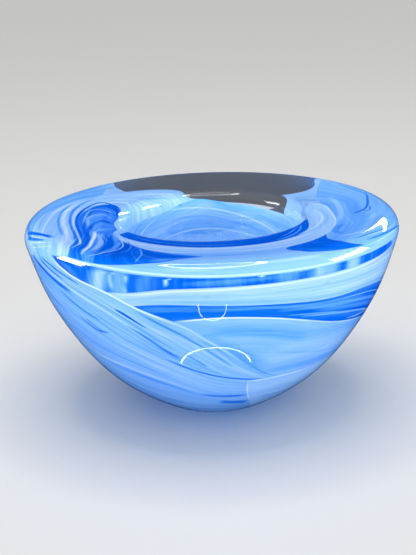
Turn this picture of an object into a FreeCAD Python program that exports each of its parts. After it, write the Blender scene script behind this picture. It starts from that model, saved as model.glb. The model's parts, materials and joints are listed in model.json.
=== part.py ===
import FreeCAD, Part
import math
import os
import BOPTools.SplitAPI as SplitAPI

# Thick cased art glass bowl, in mm. +Z is up and the origin is the centre of the flat foot.
# A colour layer lies between a thick clear core and a thin clear casing. It is cut along seams
# into the wraps of coloured glass that the glassblower laid on, and into the clear gaps between.

# ---- Driving dimensions ----
girth_radius = 80.0          # widest radius, at the shoulder
girth_height = 77.8          # height of the widest circle
shoulder_radius = 7.0        # rounding from the side to the top face
shoulder_flare_deg = 16.8    # lean of the side where it meets the shoulder
rim_fall_deg = 3.2           # the top face falls this much towards the opening
lip_crest_radius = 43.5      # radius of the circle where the top face turns into the lip
lip_radius = 5.0             # rounding of the lip
foot_corner_radius = 23.0    # radius where the foot plane and the side would meet
foot_round_radius = 8.0      # rounding between the foot and the side
foot_flare_deg = 27.0        # lean of the side where it leaves the foot
floor_thickness = 25.0       # glass under the bottom of the hollow

# Side and hollow, as (radius, height) between their ends
side_points = [(31.2, 4.6), (49.6, 19.0), (64.0, 38.0), (74.5, 59.0)]
hollow_points = [(37.6, 68.0), (34.5, 52.0), (26.0, 36.0), (12.0, 27.3)]
# The heights and radii above belong to this bowl, and they scale with it
reference_girth_radius = 80.0
reference_girth_height = 77.8
reference_floor = 25.0
reference_opening = 38.5
reference_wall_top = 78.15   # height of the top of the hollow's wall

casing_thickness = 2.5       # clear glass over the colour layer
colour_thickness = 1.2       # thickness of every wrap
knife_margin = 0.6           # how far a seam's cutting surface runs past the colour layer
side_samples = 24            # points that carry an offset of the side or the hollow
seam_steps = 5               # points between two points of a seam
cut_tolerance = 1e-5
inside_tolerance = 1e-6

# ---- Seams, as (angle in degrees, distance along the section in mm) ----
# The angle runs anticlockwise seen from above, with the front at 270. The distance is measured
# from the foot's corner: up the side, over the shoulder, across the top face, over the lip and
# down into the hollow. Seams meet at shared points.
seams = {
    "ring_inner": [(207, 140), (216, 137), (230, 135), (250, 133.8), (270, 132.5), (290, 131.8),
                   (310, 132.5), (325, 136), (342, 141.5), (352, 143.7), (362, 143.2),
                   (370, 141.5), (378.5, 137.5)],
    "ring_outer": [(207, 140), (212, 136.2), (220, 133), (230, 130.5), (240, 127), (250, 124),
                   (263, 124.3), (280, 123.8), (300, 121.8), (319, 124.2), (330, 126.5),
                   (345, 130), (360, 132.5), (373, 134), (378.5, 137.5)],
    "hook_outer": [(207, 140), (198, 141.3), (188, 142.8), (178, 144), (168, 143.3), (158, 140),
                   (153.5, 135.5), (156, 131), (165, 128.6), (180, 127), (195, 125),
                   (206, 121.8), (215, 116.5), (220, 111), (223, 105.5)],
    "hook_inner": [(198, 141.3), (188, 141.2), (176, 141.9), (167, 140.5), (162, 137), (162, 133.5),
                   (168, 131.2), (180, 130.6), (195, 130.3), (205, 128.5), (214, 124.5),
                   (221, 119), (226, 112), (230, 105.5)],
    "swirl_edge": [(212, 136.2), (218, 131.5), (225, 125), (230, 117.5), (232.5, 111),
                   (234, 105.5)],
    "left_wedge_lower": [(216, 103.5), (223, 105.5), (230, 105.5), (234, 105.5), (244, 107.5),
                         (252, 110.5), (260, 114.5), (267, 118.5)],
    "left_wedge_upper": [(267, 118.5), (258, 121.6), (250, 124)],
    "right_wedge_lower": [(300, 121.8), (295.5, 119.5), (296, 115.5), (301, 111), (309, 107.8),
                          (320, 105.5)],
    "right_wedge_upper": [(320, 105.5), (315.5, 109.5), (313.5, 115), (314.5, 120),
                          (319, 124.2)],
    "window_upper": [(216, 103.5), (228, 104), (240, 103.2), (255, 102.4), (275, 101.8),
                     (295, 101.3), (315, 100.8), (330, 100.3), (344, 99.5)],
    "window_lower": [(238, 92.3), (246, 93.5), (254, 95.6), (264, 96.8), (280, 97.1),
                     (300, 97), (320, 96.8), (334, 97.4), (344, 99.5)],
    "band_tail": [(344, 99.5), (362, 98.8), (380, 98.5)],
    "rim_right": [(320, 105.5), (332, 104.3), (348, 102.3), (364, 100.2), (380, 98.5)],
    "strand_upper": [(216, 103.5), (221, 99.5), (229, 95.5), (238, 92.3), (246, 87.3), (252, 84),
                     (258, 81), (265, 75), (272, 67), (279, 57), (287, 48.5), (296, 43.5)],
    "strand_lower": [(204, 98.5), (213, 93), (224, 87), (235, 79.5), (245, 70.5), (255, 60.5),
                     (265, 51.5), (275, 46), (283, 43.5)],
    "strand_start": [(200, 103.5), (203, 101), (204, 98.5)],
    "sweep_start": [(200, 103.5), (208, 104.2), (216, 103.5)],
    "cobalt_upper": [(246, 87.3), (253, 88.8), (262, 89.2), (278, 88.3), (292, 86.8), (306, 85),
                     (320, 84.3), (334, 82), (346, 77), (357, 68), (365, 58)],
    "leaf_edge": [(258, 81), (264, 82.3), (271, 83), (280, 82.3), (290, 80), (300, 76.3),
                  (310, 72), (322, 68), (335, 64.5), (350, 61), (365, 58)],
    "leaf_end": [(365, 58), (372, 50), (375, 40)],
    "rear_sweep": [(365, 58), (385, 50), (410, 44), (440, 42), (470, 48), (500, 60), (525, 75),
                   (545, 90), (564, 98.5)],
    "rear_shoulder_right": [(380, 98.5), (388, 98.6), (398, 98.9), (409, 99.3)],
    "rear_shoulder_left": [(127, 103), (140, 103.8), (160, 104.2), (180, 104), (200, 103.5)],
    "left_shoulder": [(142, 121.5), (155, 118), (168, 114.5), (180, 111.5), (192, 107.5),
                      (200, 103.5)],
    "clear_left": [(98, 145.5), (104, 143.5), (106.5, 139), (109, 135), (114, 132), (121, 129),
                   (130, 126), (142, 121.5)],
    "clear_lower": [(142, 121.5), (137, 117.5), (132, 112.5), (129, 108), (127, 103), (127, 95),
                    (125.5, 87), (121, 78), (113, 70.5), (102, 66), (90, 64), (78, 64.5),
                    (66, 67), (56, 72), (49.5, 80), (47.5, 90), (49, 99.3), (47, 106), (43, 113),
                    (38, 121), (33, 126), (26, 131), (13, 134)],
    "inside_edge": [(210, 152), (235, 152), (270, 152), (305, 152), (337, 151), (350, 149),
                    (362, 149), (372, 150), (390, 150.5), (410, 150), (430, 149), (445, 147.8),
                    (458, 145.5), (470, 148), (485, 151), (505, 152), (540, 152), (570, 152)],
    "crescent_left": [(216, 137), (214, 142), (212, 147), (210, 152)],
    "crescent_right": [(342, 141.5), (340, 146), (337, 151)],
    "base_upper": [(283, 43.5), (296, 43.5), (312, 43.6), (330, 43.5), (350, 42.5), (375, 40)],
    "base_left": [(283, 43.5), (283.5, 37), (285.5, 30), (289.5, 21), (295, 12), (302, 4)],
    "base_right": [(375, 40), (384, 34), (391, 27), (398, 16), (405, 4)],
    "low_sweep": [(285.5, 30), (275, 31.5), (265, 34.5), (255, 39.5), (245, 44.5), (235, 48.5),
                  (222, 52), (208, 56), (190, 58), (170, 56), (150, 50), (125, 38), (100, 30),
                  (75, 28), (50, 27.5), (31, 27)],
    "foot_circle": [(302, 4), (345, 4), (405, 4), (450, 4), (495, 4), (540, 4), (585, 4),
                    (625, 4), (662, 4)],
    "inside_low": [(0, 172), (45, 168), (90, 167), (135, 170), (180, 175), (225, 179),
                   (270, 180), (315, 177), (360, 172)],
    "patch_edge": [(72, 160), (85, 156.6), (100, 155.6), (114, 157), (124, 160), (110, 162.2),
                   (90, 162.8), (72, 160)],
}

# A point inside each piece of the colour layer
wraps = {
    "foot_clear_disc": (270, -12),
    "base_light_patch": (300, 30),
    "front_leaf_wrap": (300, 60),
    "front_cobalt_band": (285, 85),
    "upper_pale_band": (300, 92),
    "shoulder_clear_window": (265, 100),
    "diagonal_pale_strand": (245, 80),
    "left_body_sweep": (240, 60),
    "lower_body_sweep": (240, 25),
    "front_rim_pale_band": (275, 110),
    "left_cobalt_wedge": (250, 117),
    "right_cobalt_wedge": (305, 115),
    "lip_pale_ring": (300, 128),
    "lip_cobalt_crescent": (280, 142),
    "swirl_pale_core": (185, 135),
    "swirl_cobalt_hook": (190, 128),
    "left_rim_pale_sweep": (140, 135),
    "left_shoulder_blue_wrap": (150, 108),
    "right_rim_blue_wrap": (340, 115),
    "rear_clear_window": (80, 130),
    "inside_pale_wrap": (0, 160),
    "inside_blue_streak": (95, 159),
    "inside_lower_wrap": (0, 190),
}

os.makedirs("parts", exist_ok=True)
Z = FreeCAD.Vector(0, 0, 1)
ORIGIN = FreeCAD.Vector(0, 0, 0)


def section_point(radius, height):
    return FreeCAD.Vector(radius, 0, height)


def direction(degrees):
    """Unit vector in the section plane, 0 outwards and 90 up."""
    return section_point(math.cos(math.radians(degrees)), math.sin(math.radians(degrees)))


def left_normal(tangent):
    """The side that faces away from the glass, as the section runs from the foot to the hollow."""
    return section_point(tangent.z, -tangent.x)


def spline(points, start, end):
    curve = Part.BSplineCurve()
    curve.interpolate(Points=points, InitialTangent=start, FinalTangent=end)
    return curve


class Arc:
    """A rounding of the section, from one angle of its normal to another."""

    def __init__(self, centre, radius, start_deg, end_deg):
        self.centre = centre
        self.radius = radius
        self.start_deg = start_deg
        self.end_deg = end_deg
        self.length = radius * math.radians(end_deg - start_deg)

    def at(self, distance, depth):
        angle = self.start_deg + (self.end_deg - self.start_deg) * distance / self.length
        return self.centre + direction(angle) * (self.radius - depth)

    def edge(self, depth):
        ends = [self.at(self.length * share, depth) for share in (0, 0.5, 1)]
        return Part.Arc(*ends).toShape()


class Line:
    def __init__(self, start, end):
        self.start = start
        self.tangent = (end - start).normalize()
        self.length = start.distanceToPoint(end)

    def at(self, distance, depth):
        return self.start + self.tangent * distance - left_normal(self.tangent) * depth

    def edge(self, depth):
        return Part.makeLine(self.at(0, depth), self.at(self.length, depth))


class Sweep:
    """A free curve of the section, with offsets carried by evenly spaced points."""

    def __init__(self, points, start, end):
        self.curve = spline(points, start, end)
        self.length = self.curve.length()
        self.start = start
        self.end = end
        self.edges = {}

    def at(self, distance, depth):
        distance = min(max(distance, 0), self.length)
        place = self.curve.parameterAtDistance(distance, self.curve.FirstParameter)
        tangent = section_point(*[self.curve.tangent(place)[0][axis] for axis in (0, 2)])
        return self.curve.value(place) - left_normal(tangent.normalize()) * depth

    def edge(self, depth):
        if depth not in self.edges:
            steps = [self.length * step / side_samples for step in range(side_samples + 1)]
            points = [self.at(step, depth) for step in steps]
            self.edges[depth] = spline(points, self.start, self.end).toShape()
        return self.edges[depth]


def make_section():
    """The outline from the foot's centre to the hollow's centre, and where the distance 0 is."""
    foot_setback = foot_round_radius * math.tan(math.radians(foot_flare_deg / 2))
    foot_edge = section_point(foot_corner_radius - foot_setback, 0)
    foot_arc = Arc(foot_edge + Z * foot_round_radius, foot_round_radius, -90,
                   foot_flare_deg - 90)
    foot = Line(ORIGIN, foot_edge)

    shoulder_centre = section_point(girth_radius - shoulder_radius, girth_height)
    shoulder = Arc(shoulder_centre, shoulder_radius, -shoulder_flare_deg, 90 + rim_fall_deg)

    fall = math.radians(rim_fall_deg)
    reach = shoulder_centre.x - lip_crest_radius
    drop = (shoulder_radius - lip_radius - reach * math.sin(fall)) / math.cos(fall)
    lip_centre = section_point(lip_crest_radius, girth_height + drop)
    lip = Arc(lip_centre, lip_radius, 90 + rim_fall_deg, 180)
    top = Line(shoulder.at(shoulder.length, 0), lip.at(0, 0))

    wide = girth_radius / reference_girth_radius
    tall = girth_height / reference_girth_height
    side = Sweep([foot_arc.at(foot_arc.length, 0)]
                 + [section_point(r * wide, z * tall) for r, z in side_points]
                 + [shoulder.at(0, 0)],
                 direction(foot_flare_deg), direction(90 - shoulder_flare_deg))

    opening = lip_crest_radius - lip_radius
    narrow = opening / reference_opening
    depth_share = (lip_centre.z - floor_thickness) / (reference_wall_top - reference_floor)
    hollow = Sweep([lip.at(lip.length, 0)]
                   + [section_point(r * narrow, floor_thickness
                                    + (z - reference_floor) * depth_share)
                      for r, z in hollow_points]
                   + [section_point(0, floor_thickness)],
                   direction(-90), direction(180))
    pieces = [foot, foot_arc, side, shoulder, top, lip, hollow]
    zero = foot.length + foot_arc.length / 2
    return pieces, zero


section, section_zero = make_section()
lip, hollow = section[-2:]

# Seam distances are stretched span by span, so a seam stays on its part of the section
reference_spans = [-section_zero, -2, 2, 97.8, 112, 140.5, 148.3, 222]


def on_section(distance, depth):
    """The section point at a seam distance and at a depth below the surface."""
    for piece, low, high in zip(section, reference_spans, reference_spans[1:]):
        if distance <= high or piece is hollow:
            share = (distance - low) / (high - low)
            return piece.at(piece.length * share, depth)


def in_space(angle, distance, depth):
    flat = on_section(distance, depth)
    turn = math.radians(angle)
    return FreeCAD.Vector(flat.x * math.cos(turn), flat.x * math.sin(turn), flat.z)


def outline(depth, first=0, last=len(section)):
    return [piece.edge(depth) for piece in section[first:last]]


def revolve(edges):
    wire = Part.Wire(Part.sortEdges(edges)[0])
    return Part.makeSolid(Part.Face(wire).revolve(ORIGIN, Z, 360))


def shell_between(shallow, deep, first, last):
    """A solid of revolution between two depths, over some pieces of the section."""
    outer = outline(shallow, first, last)
    inner = outline(deep, first, last)
    starts = [section[first].at(0, depth) for depth in (shallow, deep)]
    ends = [section[last - 1].at(section[last - 1].length, depth) for depth in (shallow, deep)]
    return revolve(outer + inner + [Part.makeLine(*starts), Part.makeLine(*ends)])


def seam_points(corners):
    """Corners of a seam with points added between them, all as (angle, distance)."""
    flat = [FreeCAD.Vector(angle, distance, 0) for angle, distance in corners]
    curve = Part.BSplineCurve()
    stations = [0.0]
    for here, there in zip(flat, flat[1:]):
        stations.append(stations[-1] + here.distanceToPoint(there))
    if abs(corners[0][0] - corners[-1][0]) == 360:
        level = FreeCAD.Vector(1, 0, 0)
        curve.interpolate(Points=flat, Parameters=stations, InitialTangent=level,
                          FinalTangent=level)
    else:
        curve.interpolate(Points=flat, Parameters=stations)
    points = []
    for start, end in zip(stations, stations[1:]):
        for step in range(seam_steps):
            points.append(curve.value(start + (end - start) * step / seam_steps))
    points.append(flat[-1])
    return [(point.x, point.y) for point in points]


def knife(corners):
    """A surface through a seam, square to the layer, from just above it to just below it."""
    places = seam_points(corners)
    shallow = casing_thickness - knife_margin
    deep = casing_thickness + colour_thickness + knife_margin
    stations = [float(index) for index in range(len(places))]
    edges = []
    for depth in (shallow, deep):
        curve = Part.BSplineCurve()
        curve.interpolate(Points=[in_space(angle, distance, depth) for angle, distance in places],
                          Parameters=stations)
        edges.append(curve.toShape())
    return Part.makeRuledSurface(*edges)


def save(name, solid):
    solid.exportStep("parts/" + name + ".step")
    print(name, "volume", round(solid.Volume), "valid", solid.isValid())


crest = section.index(lip)
colour_depth = casing_thickness + colour_thickness
save("outer_clear_casing", shell_between(0.0, casing_thickness, 0, crest))
save("inner_clear_lining", shell_between(0.0, casing_thickness, crest, len(section)))
axis_line = Part.makeLine(section[0].at(0, colour_depth), hollow.at(hollow.length, colour_depth))
save("clear_core_gather", revolve(outline(colour_depth) + [axis_line]))

# The colour layer falls apart along the seams, and each piece is known by a point inside it.
# What is left over are specks under 0.1 mm3 where seams cross, and they are not kept.
layer = shell_between(casing_thickness, colour_depth, 0, len(section))
knives = [knife(corners) for corners in seams.values()]
pieces = SplitAPI.slice(layer, knives, "Split", cut_tolerance).Solids
for name, (angle, distance) in wraps.items():
    probe = in_space(angle, distance, casing_thickness + colour_thickness / 2)
    found = [piece for piece in pieces if piece.isInside(probe, inside_tolerance, False)]
    if len(found) != 1:
        raise ValueError(name + " has no piece of its own")
    save(name, found[0])
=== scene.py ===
import json
import math
import random

import bpy
import numpy as np
from mathutils import Matrix, Vector
from mathutils.geometry import delaunay_2d_cdt

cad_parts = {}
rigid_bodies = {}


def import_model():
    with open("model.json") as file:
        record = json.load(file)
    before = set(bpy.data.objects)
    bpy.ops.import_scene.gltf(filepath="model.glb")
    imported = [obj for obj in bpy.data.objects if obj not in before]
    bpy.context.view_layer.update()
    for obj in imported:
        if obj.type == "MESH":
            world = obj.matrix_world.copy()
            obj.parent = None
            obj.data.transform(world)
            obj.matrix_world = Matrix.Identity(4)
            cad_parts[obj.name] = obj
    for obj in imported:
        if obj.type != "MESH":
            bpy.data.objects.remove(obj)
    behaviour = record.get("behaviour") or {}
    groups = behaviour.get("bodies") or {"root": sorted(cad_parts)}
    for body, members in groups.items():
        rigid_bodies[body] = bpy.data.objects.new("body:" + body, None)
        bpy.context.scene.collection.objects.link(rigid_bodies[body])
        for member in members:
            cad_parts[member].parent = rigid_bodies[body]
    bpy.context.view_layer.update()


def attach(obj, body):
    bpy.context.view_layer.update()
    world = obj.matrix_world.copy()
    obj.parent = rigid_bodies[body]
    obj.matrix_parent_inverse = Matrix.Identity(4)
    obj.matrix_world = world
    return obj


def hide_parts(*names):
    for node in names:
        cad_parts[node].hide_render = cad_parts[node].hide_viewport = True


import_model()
MM = 0.001

# ------------ the bowl's section, in mm
CASING = 2.5
# Where foot, corner, side, shoulder, top face, lip and hollow begin and end along the section
SPANS = [-22.92, -2, 2, 97.8, 112, 140.5, 148.3, 222]
# Rows of points in each of these spans, for the clear glass and for the colour layer
GLASS_ROWS = (6, 9, 64, 27, 16, 17, 56)
LAYER_ROWS = (10, 4, 55, 15, 19, 9, 36)


def polar(degrees):
    return np.array([math.cos(math.radians(degrees)), math.sin(math.radians(degrees))])


def arc(centre, radius, start, end, count=40):
    angles = np.linspace(start, end, count)
    normals = np.array([polar(a) for a in angles])
    return np.array(centre) + radius * normals, normals


def run_lengths(points, scale=(1, 1)):
    """How far along a line of points each one lies, with each axis scaled."""
    return np.r_[0, np.cumsum(np.hypot(*(np.diff(points, axis=0) * scale).T))]


def fill_inner_rows(matrix, right, points, gap):
    """The equations that keep a cubic spline's curvature even at its inner points."""
    for i in range(1, len(points) - 1):
        matrix[i, i - 1:i + 2] = 1 / gap[i - 1], 2 / gap[i - 1] + 2 / gap[i], 1 / gap[i]
        right[i] = 3 * ((points[i] - points[i - 1]) / gap[i - 1] ** 2
                        + (points[i + 1] - points[i]) / gap[i] ** 2)


def cubic(u, gap, start, end, slope_start, slope_end):
    """Places on the cubic from start to end, at shares u of the gap between them."""
    return ((2 * u ** 3 - 3 * u ** 2 + 1) * start + (u ** 3 - 2 * u ** 2 + u) * gap * slope_start
            + (3 * u ** 2 - 2 * u ** 3) * end + (u ** 3 - u ** 2) * gap * slope_end)


def clamped_spline(points, start, end, count=400):
    """Places and normals of a cubic spline through points, with unit tangents at its ends."""
    points = np.array(points, float)
    knots = run_lengths(points)
    gap = np.diff(knots)
    size = len(points)
    matrix, right = np.eye(size), np.zeros((size, 2))
    right[0], right[-1] = start, end
    fill_inner_rows(matrix, right, points, gap)
    slopes = np.linalg.solve(matrix, right)
    t = np.linspace(0, knots[-1], count)
    k = np.clip(np.searchsorted(knots, t, side="right") - 1, 0, size - 2)
    u = ((t - knots[k]) / gap[k])[:, None]
    place = cubic(u, gap[k][:, None], points[k], points[k + 1], slopes[k], slopes[k + 1])
    tangent = np.gradient(place, t, axis=0)
    tangent[0], tangent[-1] = start, end
    tangent /= np.hypot(*tangent.T)[:, None]
    return place, np.c_[tangent[:, 1], -tangent[:, 0]]


def straight(start, end, count=20):
    share = np.linspace(0, 1, count)[:, None]
    run = (np.array(end) - start) / np.hypot(*(np.array(end) - start))
    return start + share * (np.array(end) - start), np.tile([run[1], -run[0]], (count, 1))


def make_section():
    foot_x = 23 - 8 * math.tan(math.radians(13.5))
    corner = arc((foot_x, 8), 8, -90, -63)
    shoulder = arc((73, 77.8), 7, -16.8, 93.2)
    lip = arc((43.5, 78.155), 5, 93.2, 180)
    side = clamped_spline([corner[0][-1], (31.2, 4.6), (49.6, 19), (64, 38), (74.5, 59),
                           shoulder[0][0]], polar(27), polar(73.2))
    hollow = clamped_spline([lip[0][-1], (37.6, 68), (34.5, 52), (26, 36), (12, 27.3), (0, 25)],
                            polar(-90), polar(180))
    parts = [straight((0, 0), (foot_x, 0)), corner, side, shoulder,
             straight(shoulder[0][-1], lip[0][0]), lip, hollow]
    places, normals, reach = [], [], []
    for (place, normal), low, high in zip(parts, SPANS, SPANS[1:]):
        run = run_lengths(place)
        reach.append(low + (high - low) * run / run[-1])
        places.append(place)
        normals.append(normal)
    return np.concatenate(reach), np.concatenate(places), np.concatenate(normals)


REACH, PLACES, NORMALS = make_section()


def on_section(s, depth):
    """Radius and height in mm at seam distance s and at a depth below the surface."""
    place = [np.interp(s, REACH, PLACES[:, i]) for i in (0, 1)]
    normal = [np.interp(s, REACH, NORMALS[:, i]) for i in (0, 1)]
    size = np.hypot(*normal)
    return place[0] - normal[0] / size * depth, place[1] - normal[1] / size * depth


def rows_along(counts):
    """Section distances for a mesh's rows: so many in each span."""
    return np.unique(np.concatenate([np.linspace(low, high, count) for low, high, count
                                     in zip(SPANS, SPANS[1:], counts)]))


def in_space(angle, s, depth):
    """Points in metres from arrays of angles in degrees and seam distances in mm."""
    radius, height = on_section(s, depth)
    turn = np.radians(angle)
    return np.stack([radius * np.cos(turn), radius * np.sin(turn), height], -1) * MM


# ------------ seams, as in the CAD source
# Each point: angle in degrees, distance along the section in mm. Where the reference picture shows
# a seam, its places were read off the picture unrolled onto the section, with a grid over
# it. The others are guesses.
SEAMS = {
    "ring_inner": [(207, 140), (216, 137), (230, 135), (250, 133.8), (270, 132.5), (290, 131.8),
        (310, 132.5), (325, 136), (342, 141.5), (352, 143.7), (362, 143.2),
        (370, 141.5), (378.5, 137.5)],
    "ring_outer": [(207, 140), (212, 136.2), (220, 133), (230, 130.5), (240, 127), (250, 124),
        (263, 124.3), (280, 123.8), (300, 121.8), (319, 124.2), (330, 126.5),
        (345, 130), (360, 132.5), (373, 134), (378.5, 137.5)],
    "hook_outer": [(207, 140), (198, 141.3), (188, 142.8), (178, 144), (168, 143.3), (158, 140),
        (153.5, 135.5), (156, 131), (165, 128.6), (180, 127), (195, 125),
        (206, 121.8), (215, 116.5), (220, 111), (223, 105.5)],
    "hook_inner": [(198, 141.3), (188, 141.2), (176, 141.9), (167, 140.5), (162, 137),
        (162, 133.5), (168, 131.2), (180, 130.6), (195, 130.3), (205, 128.5),
        (214, 124.5), (221, 119), (226, 112), (230, 105.5)],
    "swirl_edge": [(212, 136.2), (218, 131.5), (225, 125), (230, 117.5), (232.5, 111),
        (234, 105.5)],
    "left_wedge_lower": [(216, 103.5), (223, 105.5), (230, 105.5), (234, 105.5), (244, 107.5),
        (252, 110.5), (260, 114.5), (267, 118.5)],
    "left_wedge_upper": [(267, 118.5), (258, 121.6), (250, 124)],
    "right_wedge_lower": [(300, 121.8), (295.5, 119.5), (296, 115.5), (301, 111), (309, 107.8),
        (320, 105.5)],
    "right_wedge_upper": [(320, 105.5), (315.5, 109.5), (313.5, 115), (314.5, 120),
        (319, 124.2)],
    "window_upper": [(216, 103.5), (228, 104), (240, 103.2), (255, 102.4), (275, 101.8),
        (295, 101.3), (315, 100.8), (330, 100.3), (344, 99.5)],
    "window_lower": [(238, 92.3), (246, 93.5), (254, 95.6), (264, 96.8), (280, 97.1),
        (300, 97), (320, 96.8), (334, 97.4), (344, 99.5)],
    "band_tail": [(344, 99.5), (362, 98.8), (380, 98.5)],
    "rim_right": [(320, 105.5), (332, 104.3), (348, 102.3), (364, 100.2), (380, 98.5)],
    "strand_upper": [(216, 103.5), (221, 99.5), (229, 95.5), (238, 92.3), (246, 87.3), (252, 84),
        (258, 81), (265, 75), (272, 67), (279, 57), (287, 48.5), (296, 43.5)],
    "strand_lower": [(204, 98.5), (213, 93), (224, 87), (235, 79.5), (245, 70.5), (255, 60.5),
        (265, 51.5), (275, 46), (283, 43.5)],
    "strand_start": [(200, 103.5), (203, 101), (204, 98.5)],
    "sweep_start": [(200, 103.5), (208, 104.2), (216, 103.5)],
    "cobalt_upper": [(246, 87.3), (253, 88.8), (262, 89.2), (278, 88.3), (292, 86.8), (306, 85),
        (320, 84.3), (334, 82), (346, 77), (357, 68), (365, 58)],
    "leaf_edge": [(258, 81), (264, 82.3), (271, 83), (280, 82.3), (290, 80), (300, 76.3),
        (310, 72), (322, 68), (335, 64.5), (350, 61), (365, 58)],
    "leaf_end": [(365, 58), (372, 50), (375, 40)],
    "rear_sweep": [(365, 58), (385, 50), (410, 44), (440, 42), (470, 48), (500, 60), (525, 75),
        (545, 90), (564, 98.5)],
    "rear_shoulder_right": [(380, 98.5), (388, 98.6), (398, 98.9), (409, 99.3)],
    "rear_shoulder_left": [(127, 103), (140, 103.8), (160, 104.2), (180, 104), (200, 103.5)],
    "left_shoulder": [(142, 121.5), (155, 118), (168, 114.5), (180, 111.5), (192, 107.5),
        (200, 103.5)],
    "clear_left": [(98, 145.5), (104, 143.5), (106.5, 139), (109, 135), (114, 132), (121, 129),
        (130, 126), (142, 121.5)],
    "clear_lower": [(142, 121.5), (137, 117.5), (132, 112.5), (129, 108), (127, 103), (127, 95),
        (125.5, 87), (121, 78), (113, 70.5), (102, 66), (90, 64), (78, 64.5),
        (66, 67), (56, 72), (49.5, 80), (47.5, 90), (49, 99.3), (47, 106), (43, 113),
        (38, 121), (33, 126), (26, 131), (13, 134)],
    "inside_edge": [(210, 152), (235, 152), (270, 152), (305, 152), (337, 151), (350, 149),
        (362, 149), (372, 150), (390, 150.5), (410, 150), (430, 149), (445, 147.8),
        (458, 145.5), (470, 148), (485, 151), (505, 152), (540, 152), (570, 152)],
    "crescent_left": [(216, 137), (214, 142), (212, 147), (210, 152)],
    "crescent_right": [(342, 141.5), (340, 146), (337, 151)],
    "base_upper": [(283, 43.5), (296, 43.5), (312, 43.6), (330, 43.5), (350, 42.5), (375, 40)],
    "base_left": [(283, 43.5), (283.5, 37), (285.5, 30), (289.5, 21), (295, 12), (302, 4)],
    "base_right": [(375, 40), (384, 34), (391, 27), (398, 16), (405, 4)],
    "low_sweep": [(285.5, 30), (275, 31.5), (265, 34.5), (255, 39.5), (245, 44.5), (235, 48.5),
        (222, 52), (208, 56), (190, 58), (170, 56), (150, 50), (125, 38), (100, 30),
        (75, 28), (50, 27.5), (31, 27)],
    "foot_circle": [(302, 4), (345, 4), (405, 4), (450, 4), (495, 4), (540, 4), (585, 4),
        (625, 4), (662, 4)],
    "inside_low": [(0, 172), (45, 168), (90, 167), (135, 170), (180, 175), (225, 179),
        (270, 180), (315, 177), (360, 172)],
    "patch_edge": [(72, 160), (85, 156.6), (100, 155.6), (114, 157), (124, 160), (110, 162.2),
        (90, 162.8), (72, 160)],
}
# A point inside each wrap
PROBES = {
    "foot_clear_disc": (270, -12), "base_light_patch": (300, 30), "front_leaf_wrap": (300, 60),
    "front_cobalt_band": (285, 85), "upper_pale_band": (300, 92),
    "shoulder_clear_window": (265, 100), "diagonal_pale_strand": (245, 80),
    "left_body_sweep": (240, 60), "lower_body_sweep": (240, 25),
    "front_rim_pale_band": (275, 110), "left_cobalt_wedge": (250, 117),
    "right_cobalt_wedge": (305, 115), "lip_pale_ring": (300, 128),
    "lip_cobalt_crescent": (280, 142), "swirl_pale_core": (185, 135),
    "swirl_cobalt_hook": (190, 128), "left_rim_pale_sweep": (140, 135),
    "left_shoulder_blue_wrap": (150, 108), "right_rim_blue_wrap": (340, 115),
    "rear_clear_window": (80, 130), "inside_pale_wrap": (0, 160),
    "inside_blue_streak": (95, 159), "inside_lower_wrap": (0, 190),
}


def smooth_path(corners, steps):
    """A smooth line through (angle, distance) corners, with points added between them."""
    points = np.array(corners, float)
    if len(points) == 2:
        return np.linspace(points[0], points[1], steps + 1)
    gap = np.diff(run_lengths(points))
    size = len(points)
    matrix, right = np.zeros((size, size)), np.zeros((size, 2))
    if abs(points[0, 0] - points[-1, 0]) == 360:
        # A line right round the bowl meets itself level
        matrix[0, :2], matrix[-1, -2:] = (1, 0), (0, 1)
        right[0] = right[-1] = (1, 0)
    else:
        matrix[0, :2], matrix[-1, -2:] = (2, 1), (1, 2)
        right[0] = 3 * (points[1] - points[0]) / gap[0]
        right[-1] = 3 * (points[-1] - points[-2]) / gap[-1]
    fill_inner_rows(matrix, right, points, gap)
    slope = np.linalg.solve(matrix, right)
    path = []
    for i in range(size - 1):
        for u in np.arange(steps) / steps:
            path.append(cubic(u, gap[i], points[i], points[i + 1], slope[i], slope[i + 1]))
    path.append(points[-1])
    return np.array(path)


SEAM_STEPS, STROKE_STEPS, WINDOW_STEPS = 6, 5, 24
PATHS = {name: smooth_path(corners, SEAM_STEPS) for name, corners in SEAMS.items()}
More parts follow.
